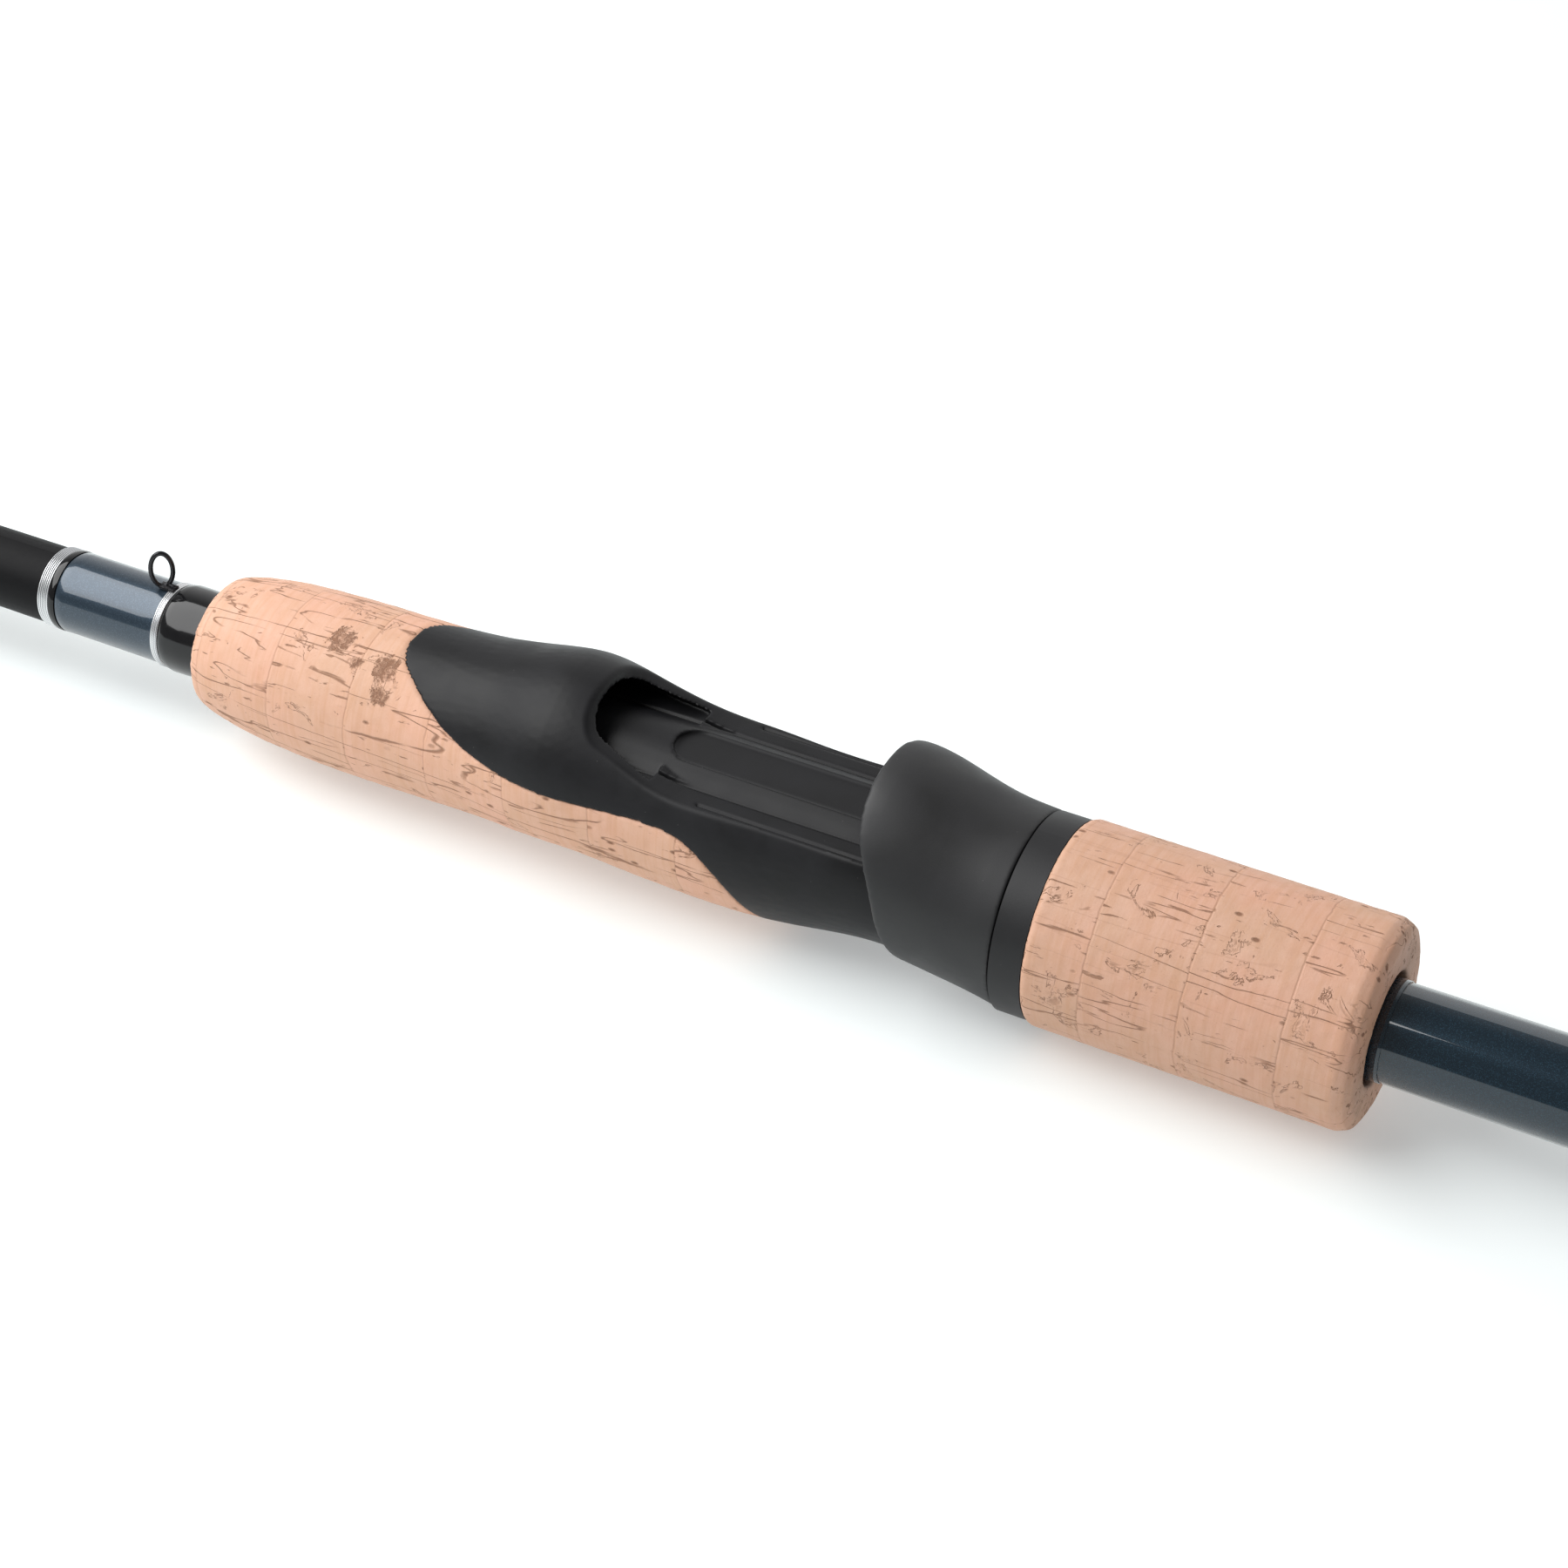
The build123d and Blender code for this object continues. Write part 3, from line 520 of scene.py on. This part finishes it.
def makeNavyWrap():
    material, shader, tree = newMaterial(
        "navyWinding",
        Metallic=0.5,
        Roughness=0.3,
        Specular_IOR_Level=0.2,
        Coat_Weight=0.75,
        Coat_Roughness=0.05,
    )
    look = navyWrapLook
    place = inMillimetres(tree)
    flake = useGroup(material, flakes, Place=place, Base=look["base"], Sparkle=look["sparkle"])
    feed(tree, flake.inputs["Size"], look["flakeSize"])
    turns = useGroup(material, threadTurns, Place=place, Twist=look["twist"])
    feed(tree, turns.inputs["Turns per mm"], look["turnsPerMm"])
    shade = ramp(tree, turns.outputs["Height"], 0.0, 1.0, look["grooveShade"], 1.0)
    colour = vectorCalc(tree, "SCALE", flake.outputs["Colour"], scale=shade)
    tree.links.new(colour, shader.inputs["Base Color"])
    tree.links.new(bump(tree, turns.outputs["Height"], 0.15, 0.00003), shader.inputs["Normal"])
    return material


def makeSmooth(name, dark, light, scale, roughness, strength=0.1, **settings):
    material, shader, tree = newMaterial(name, **settings)
    place = inMillimetres(tree)
    cloud = noise(tree, place, scale, 4.0, 0.6)
    tree.links.new(blendColour(tree, cloud, dark, light), shader.inputs["Base Color"])
    tree.links.new(ramp(tree, cloud, 0.3, 0.7, *roughness), shader.inputs["Roughness"])
    tree.links.new(bump(tree, cloud, strength, 0.00005), shader.inputs["Normal"])
    return material


finish = {
    "foregripCork": makeCork("foregripCork", corkLook["knotSpots"]),
    "rearCork": makeCork("rearCork"),
    "buttCork": makeCork("buttCork"),
    "seat": makePlastic("seatPlastic"),
    "hood": makePlastic("hoodPlastic"),
    "barrel": makePlastic("barrelPlastic"),
    "collar": makePlastic("collarPlastic"),
    "rubber": makePlastic("buttRubber"),
    "blank": makeBlank(),
    "navyWrap": makeNavyWrap(),
    # thread finishes: each dark colour is painted shade in the grooves between turns, each light colour the thread's
    # own colour
    "silver": makeThread(
        "silverThread",
        dark=(0.2, 0.21, 0.23, 1),
        light=(0.95, 0.955, 0.96, 1),
        turnsPerMm=3.3,
        twist=0.75,
        Metallic=0.75,
        Roughness=0.28,
        Coat_Weight=0.7,
        Coat_Roughness=0.08,
    ),
    "blackThread": makeThread(
        "blackThread",
        dark=(0.006, 0.006, 0.007, 1),
        light=(0.02, 0.02, 0.022, 1),
        turnsPerMm=5.5,
        twist=0.3,
        Roughness=0.35,
        Coat_Weight=1.0,
        Coat_Roughness=0.04,
    ),
    "epoxy": makeSmooth(
        "blackEpoxy",
        dark=(0.004, 0.004, 0.0045, 1),
        light=(0.009, 0.009, 0.01, 1),
        scale=0.4,
        roughness=(0.1, 0.16),
        strength=0.05,
        Coat_Weight=0.3,
        Coat_Roughness=0.02,
        Specular_IOR_Level=0.2,
    ),
    "wire": makeSmooth(
        "keeperWire",
        dark=(0.012, 0.012, 0.014, 1),
        light=(0.03, 0.03, 0.034, 1),
        scale=1.5,
        roughness=(0.22, 0.34),
        Metallic=0.6,
    ),
    "guideMetal": makeSmooth(
        "guideMetal",
        dark=(0.05, 0.052, 0.056, 1),
        light=(0.11, 0.115, 0.12, 1),
        scale=0.8,
        roughness=(0.24, 0.36),
        Metallic=1.0,
    ),
    "ceramic": makeSmooth(
        "guideCeramic",
        dark=(0.02, 0.02, 0.023, 1),
        light=(0.045, 0.045, 0.05, 1),
        scale=0.5,
        roughness=(0.08, 0.15),
        strength=0.02,
    ),
    "board": makeSmooth(
        "arborBoard",
        dark=(0.3, 0.22, 0.14, 1),
        light=(0.42, 0.32, 0.21, 1),
        scale=1.2,
        roughness=(0.75, 0.9),
        strength=0.4,
    ),
}
print("finishes made")


# helpers that pick, copy and shape meshes
def pickNothing():
    if bpy.context.object and bpy.context.object.mode != "OBJECT":
        bpy.ops.object.mode_set(mode="OBJECT")
    bpy.ops.object.select_all(action="DESELECT")


def pickOnly(piece):
    pickNothing()
    piece.select_set(True)
    bpy.context.view_layer.objects.active = piece


def applyAll(piece):
    pickOnly(piece)
    for modifier in list(piece.modifiers):
        bpy.ops.object.modifier_apply(modifier=modifier.name)


def placeAtOrigin(piece):
    pickOnly(piece)
    bpy.ops.object.transform_apply(location=True, rotation=True, scale=True)


def triangleCount(piece):
    return sum(len(face.vertices) - 2 for face in piece.data.polygons)


def copyOfNode(nodeName, pieceName):
    pickNothing()
    source = nodes[nodeName]
    piece = source.copy()
    piece.data = source.data.copy()
    piece.name = pieceName
    for key in list(piece.keys()):
        if key.startswith("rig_"):
            del piece[key]
    piece.parent = None
    bpy.context.collection.objects.link(piece)
    pickOnly(piece)
    bpy.ops.object.mode_set(mode="EDIT")
    bpy.ops.mesh.select_all(action="SELECT")
    bpy.ops.mesh.remove_doubles(threshold=mergeDistance)
    bpy.ops.object.mode_set(mode="OBJECT")
    return piece


def thinned(piece, limit):
    total = triangleCount(piece)
    if total > limit:
        thin = piece.modifiers.new("thinned", "DECIMATE")
        thin.ratio = limit / total
        applyAll(piece)


def softened(piece, voxel, passes, limit):
    # moulded pieces have soft edges everywhere, so the whole shape is remeshed fine and relaxed
    remesh = piece.modifiers.new("fineSkin", "REMESH")
    remesh.mode = "VOXEL"
    remesh.voxel_size = voxel
    relax = piece.modifiers.new("softEdges", "SMOOTH")
    relax.factor = 0.5
    relax.iterations = passes
    applyAll(piece)
    thinned(piece, limit)
    pickOnly(piece)
    bpy.ops.object.shade_smooth()


def dress(piece, material, body, slotName, *replaced):
    piece.data.materials.clear()
    piece.data.materials.append(material)
    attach(piece, body)
    if replaced:
        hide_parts(*replaced)
    print(piece.name, triangleCount(piece), "triangles")


def turnedPiece(name, stations, sides):
    # a ring of points at the first station is extruded along the rod and resized at each next one,
    # and the last station comes back to the first, so the ring closes on itself
    pickNothing()
    startX, startR = stations[0]
    bpy.ops.mesh.primitive_circle_add(
        vertices=sides, radius=startR * mm, location=(startX * mm, 0, 0), rotation=(0, math.pi / 2, 0)
    )
    piece = bpy.context.object
    piece.name = name
    placeAtOrigin(piece)
    bpy.ops.object.mode_set(mode="EDIT")
    bpy.ops.mesh.select_all(action="SELECT")
    radius = startR
    for (beforeX, _), (x, nextRadius) in zip(stations, stations[1:]):
        bpy.ops.mesh.extrude_region_move(
            TRANSFORM_OT_translate={"value": ((x - beforeX) * mm, 0, 0), "orient_type": "GLOBAL"}
        )
        size = nextRadius / radius
        bpy.ops.transform.resize(value=(1, size, size), center_override=(x * mm, 0, 0))
        radius = nextRadius
    bpy.ops.mesh.select_all(action="SELECT")
    bpy.ops.mesh.remove_doubles(threshold=mergeDistance)
    bpy.ops.mesh.select_all(action="SELECT")
    bpy.ops.mesh.normals_make_consistent(inside=False)
    bpy.ops.object.mode_set(mode="OBJECT")
    bpy.ops.object.shade_smooth_by_angle(angle=math.radians(windingLook["sharpAngle"]))
    return piece


# the seat is two pieces: the threaded barrel keeps its crisp edges, the shell ahead of it is softened
seatLook = {"voxel": 0.0002, "passes": 7, "limit": 190000, "split": 283.0, "lap": 1.5, "barrelAngle": 32}


def keepSide(piece, x, keepFront):
    # cuts the piece across the rod, closes the cut and keeps one side
    pickOnly(piece)
    bpy.ops.object.mode_set(mode="EDIT")
    bpy.ops.mesh.select_all(action="SELECT")
    bpy.ops.mesh.bisect(
        plane_co=(x * mm, 0, 0),
        plane_no=(1, 0, 0),
        use_fill=True,
        clear_inner=keepFront,
        clear_outer=not keepFront,
    )
    bpy.ops.object.mode_set(mode="OBJECT")


barrel = copyOfNode("reel_seat", "threadedBarrel")
keepSide(barrel, seatLook["split"] + seatLook["lap"], False)
pickOnly(barrel)
bpy.ops.object.shade_smooth_by_angle(angle=math.radians(seatLook["barrelAngle"]))
dress(barrel, finish["barrel"], "handle", "seat_plastic")

seatShell = copyOfNode("reel_seat", "seatShell")
keepSide(seatShell, seatLook["split"], True)
softened(seatShell, seatLook["voxel"], seatLook["passes"], seatLook["limit"])
dress(seatShell, finish["seat"], "handle", "seat_plastic", "reel_seat")

# the front rim leans forward with height and more so above its bend; heights and places in millimetres
hoodLook = {
    "voxel": 0.00024,
    "passes": 6,
    "fineLimit": 600000,
    "limit": 150000,
    "rimPasses": 45,
    "rimDepth": 2.6,
    "rimFade": 1.4,
    "rimRadius": 10.6,
    "rimBend": 7.3,
    "rimLow": (287.4, -5, 0.19),
    "rimHigh": (289.6, 7.3, 0.45),
    "rimFront": 292.0,
}


def depthBehindRim(x, z):
    start, height, lean = hoodLook["rimLow"] if z < hoodLook["rimBend"] else hoodLook["rimHigh"]
    return min(start + lean * (z - height), hoodLook["rimFront"]) - x


hoodShell = copyOfNode("sliding_hood", "hoodShell")
softened(hoodShell, hoodLook["voxel"], hoodLook["passes"], hoodLook["fineLimit"])
rim = hoodShell.vertex_groups.new(name="rim")
for vertex in hoodShell.data.vertices:
    x, y, z = (value / mm for value in vertex.co)
    inside = hoodLook["rimDepth"] - depthBehindRim(x, z)
    if math.hypot(y, z) > hoodLook["rimRadius"] and inside > 0:
        rim.add([vertex.index], min(1.0, inside / hoodLook["rimFade"]), "REPLACE")
roundRim = hoodShell.modifiers.new("roundRim", "SMOOTH")
roundRim.vertex_group = "rim"
roundRim.iterations = hoodLook["rimPasses"]
applyAll(hoodShell)
thinned(hoodShell, hoodLook["limit"])
hoodShell.vertex_groups.clear()
dress(hoodShell, finish["hood"], "hood", "seat_plastic", "sliding_hood")

print("seat and hood made")

# corks: relaxed a little, then dented by fine crumbs
corkShape = {
    "foregrip": {
        "piece": "foregripCork",
        "finish": "foregripCork",
        "body": "handle",
        "voxel": 0.0004,
        "limit": 180000,
    },
    "nut_grip": {
        "piece": "rearCorkGrip",
        "finish": "rearCork",
        "body": "nut",
        "voxel": 0.00034,
        "limit": 170000,
    },
    "butt_grip": {
        "piece": "buttCorkGrip",
        "finish": "buttCork",
        "body": "handle",
        "voxel": 0.0006,
        "limit": 120000,
    },
}
crumbLook = {"passes": 2, "size": 0.0016, "layers": 3, "dent": 0.00012, "level": 0.6}
for nodeName, shape in corkShape.items():
    cork = copyOfNode(nodeName, shape["piece"])
    softened(cork, shape["voxel"], crumbLook["passes"], shape["limit"])
    crumbs = bpy.data.textures.new(shape["piece"] + "Crumbs", "CLOUDS")
    crumbs.noise_scale = crumbLook["size"]
    crumbs.noise_depth = crumbLook["layers"]
    dents = cork.modifiers.new("crumbs", "DISPLACE")
    dents.texture = crumbs
    dents.texture_coords = "LOCAL"
    dents.strength = crumbLook["dent"]
    dents.mid_level = crumbLook["level"]
    applyAll(cork)
    dress(cork, finish[shape["finish"]], shape["body"], "cork", nodeName)
print("corks made")

# windings in front of the foregrip, as places along the rod and radii in millimetres
glossyLine = [(394, 5.69), (394, 6.1), (395.5, 6.16), (398, 6.26), (400.4, 6.32), (401.3, 6.2), (401.8, 6.02)]
glossyLine += [(402, 5.75), (402, 5.66)]
navyLine = [(402.95, 5.66), (402.95, 5.93), (403.6, 5.87), (405, 5.835), (412, 5.81), (418.3, 5.8)]
navyLine += [(419.4, 5.86), (419.7, 5.72), (419.7, 5.58)]
darkRingLine = [(419.8, 5.59), (419.8, 5.84), (420.1, 5.9), (420.5, 5.9), (420.75, 5.84), (420.75, 5.58)]
windingLook = {
    "sides": 128,
    "keeperBand": {"start": 402.1, "pitch": 0.27, "count": 4, "radius": 5.93},
    "frontTrim": {"start": 421.0, "pitch": 0.3, "count": 6, "radius": 5.68},
    "strandRadius": 0.17,
    "strandSides": 10,
    "keeperFeetEnd": 402.2,
    "sharpAngle": 50,
}
windingPlan = [
    ("glossyWinding", glossyLine, "epoxy", "gloss_epoxy", "foregrip_wrap"),
    ("navyWindingSleeve", navyLine, "navyWrap", "navy_thread", "keeper_wrap"),
    ("darkRing", darkRingLine, "epoxy", "gloss_epoxy", "front_band"),
]
for pieceName, stations, finishName, slotName, nodeName in windingPlan:
    sleeve = turnedPiece(pieceName, stations + [stations[0]], windingLook["sides"])
    dress(sleeve, finish[finishName], "handle", slotName, nodeName)


def woundStrands(pieceName, plan):
    # one torus for each turn of thread, joined into one piece
    pickNothing()
    for turn in range(plan["count"]):
        bpy.ops.mesh.primitive_torus_add(
            major_radius=plan["radius"] * mm,
            minor_radius=windingLook["strandRadius"] * mm,
            major_segments=windingLook["sides"],
            minor_segments=windingLook["strandSides"],
            location=((plan["start"] + turn * plan["pitch"]) * mm, 0, 0),
            rotation=(0, math.pi / 2, 0),
        )
        strand = bpy.context.object
        if turn == 0:
            strands = strand
        else:
            strands.select_set(True)
            bpy.context.view_layer.objects.active = strands
            bpy.ops.object.join()
    strands.name = pieceName
    placeAtOrigin(strands)
    bpy.ops.object.shade_smooth()
    return strands


keeperBand = woundStrands("keeperBandStrands", windingLook["keeperBand"])
dress(keeperBand, finish["silver"], "handle", "silver_thread", "keeper_band")
frontTrim = woundStrands("frontTrimStrands", windingLook["frontTrim"])
dress(frontTrim, finish["silver"], "handle", "silver_thread", "front_trim")

# the loop's feet end under the silver band
keeperLoop = copyOfNode("hook_keeper", "keeperLoop")
keepSide(keeperLoop, windingLook["keeperFeetEnd"], True)
bpy.ops.object.shade_smooth_by_angle(angle=math.radians(windingLook["sharpAngle"]))
dress(keeperLoop, finish["wire"], "handle", "keeper_wire", "hook_keeper")
print("windings made")

# nodes that keep their own shape and only get a finish
carried = {
    "butt_cap": "rubber",
    "butt_trim": "collar",
    "butt_blank": "blank",
    "tip_blank": "blank",
    "ferrule_wrap": "blackThread",
    "rear_trim_wrap": "blank",
    "seat_arbor_front": "board",
    "seat_arbor_middle": "board",
    "seat_arbor_rear": "board",
    "nut_collar": "collar",
    "tip_top_frame": "guideMetal",
    "tip_top_ring": "ceramic",
    "tip_top_wrap": "blackThread",
}
for number in range(1, 8):
    carried["guide_%d_frame" % number] = "guideMetal"
    carried["guide_%d_ring" % number] = "ceramic"
    carried["guide_%d_wrap" % number] = "blackThread"
for nodeName, finishName in carried.items():
    for materialSlot in nodes[nodeName].material_slots:
        materialSlot.material = finish[finishName]
print("carried-over nodes finished")

# floor, light and camera
studio = {
    "floorZ": -14.85,
    "floorSize": 12,
    "floorTone": 0.78,
    "floorRed": (0.93, 0.94),
    "floorGlow": 0.27,
    "keyPlace": (0.80, 0.20, 0.62),
    "keyTarget": (0.307, 0, 0),
    "keySize": (0.9, 0.7),
    "keyPower": 10.5,
    "backdropSpan": (0.25, 0.8),
    "backdropStrength": (0.22, 0.95),
}
pickNothing()
bpy.ops.mesh.primitive_plane_add(size=studio["floorSize"], location=(0.5, 0, studio["floorZ"] * mm))
floor = bpy.context.object
floor.name = "floor"
placeAtOrigin(floor)
floorMaterial, floorShader, floorTree = newMaterial("floorPaper", Roughness=0.9, Specular_IOR_Level=0.1)
tone = studio["floorTone"]
paper = noise(floorTree, inMillimetres(floorTree), 0.02, 2.0)
coolPaper, warmPaper = ((tone * red, tone, tone, 1) for red in studio["floorRed"])
paperColour = blendColour(floorTree, paper, coolPaper, warmPaper)
floorTree.links.new(paperColour, floorShader.inputs["Base Color"])
floorShader.inputs["Emission Color"].default_value = (1, 1, 1, 1)
floorShader.inputs["Emission Strength"].default_value = studio["floorGlow"]
floor.data.materials.append(floorMaterial)


def facing(place, target):
    return (Vector(target) - Vector(place)).to_track_quat("-Z", "Y").to_euler()


def addPanel(name, place, target, size, power):
    lamp = bpy.data.lights.new(name, "AREA")
    lamp.shape = "RECTANGLE"
    lamp.size, lamp.size_y = size
    lamp.energy = power
    panel = bpy.data.objects.new(name, lamp)
    bpy.context.collection.objects.link(panel)
    panel.location = place
    panel.rotation_euler = facing(place, target)


addPanel("topPanel", studio["keyPlace"], studio["keyTarget"], studio["keySize"], studio["keyPower"])

world = bpy.data.worlds.new("studioAir")
bpy.context.scene.world = world
world.use_nodes = True
air = world.node_tree
direction = air.nodes.new("ShaderNodeTexCoord").outputs["Generated"]
towardsBack = calc(air, "MULTIPLY", parts(air, direction)[1], -1.0)
backdrop = ramp(air, towardsBack, *studio["backdropSpan"], *studio["backdropStrength"], smooth=True)
feed(air, air.nodes["Background"].inputs["Strength"], backdrop)
air.nodes["Background"].inputs["Color"].default_value = (1.0, 1.0, 1.0, 1)

cameraPlan = {"place": (0.1521, 0.2925, 0.2699), "lookAt": (0.3097, -0.00515, 0.00257), "lens": 76.0}
lensData = bpy.data.cameras.new("camera")
lensData.lens = cameraPlan["lens"]
lensData.sensor_width = 36.0
camera = bpy.data.objects.new("camera", lensData)
bpy.context.collection.objects.link(camera)
camera.location = cameraPlan["place"]
camera.rotation_euler = facing(cameraPlan["place"], cameraPlan["lookAt"])
bpy.context.scene.camera = camera
bpy.context.scene.view_settings.view_transform = "Standard"

print("scene ready")
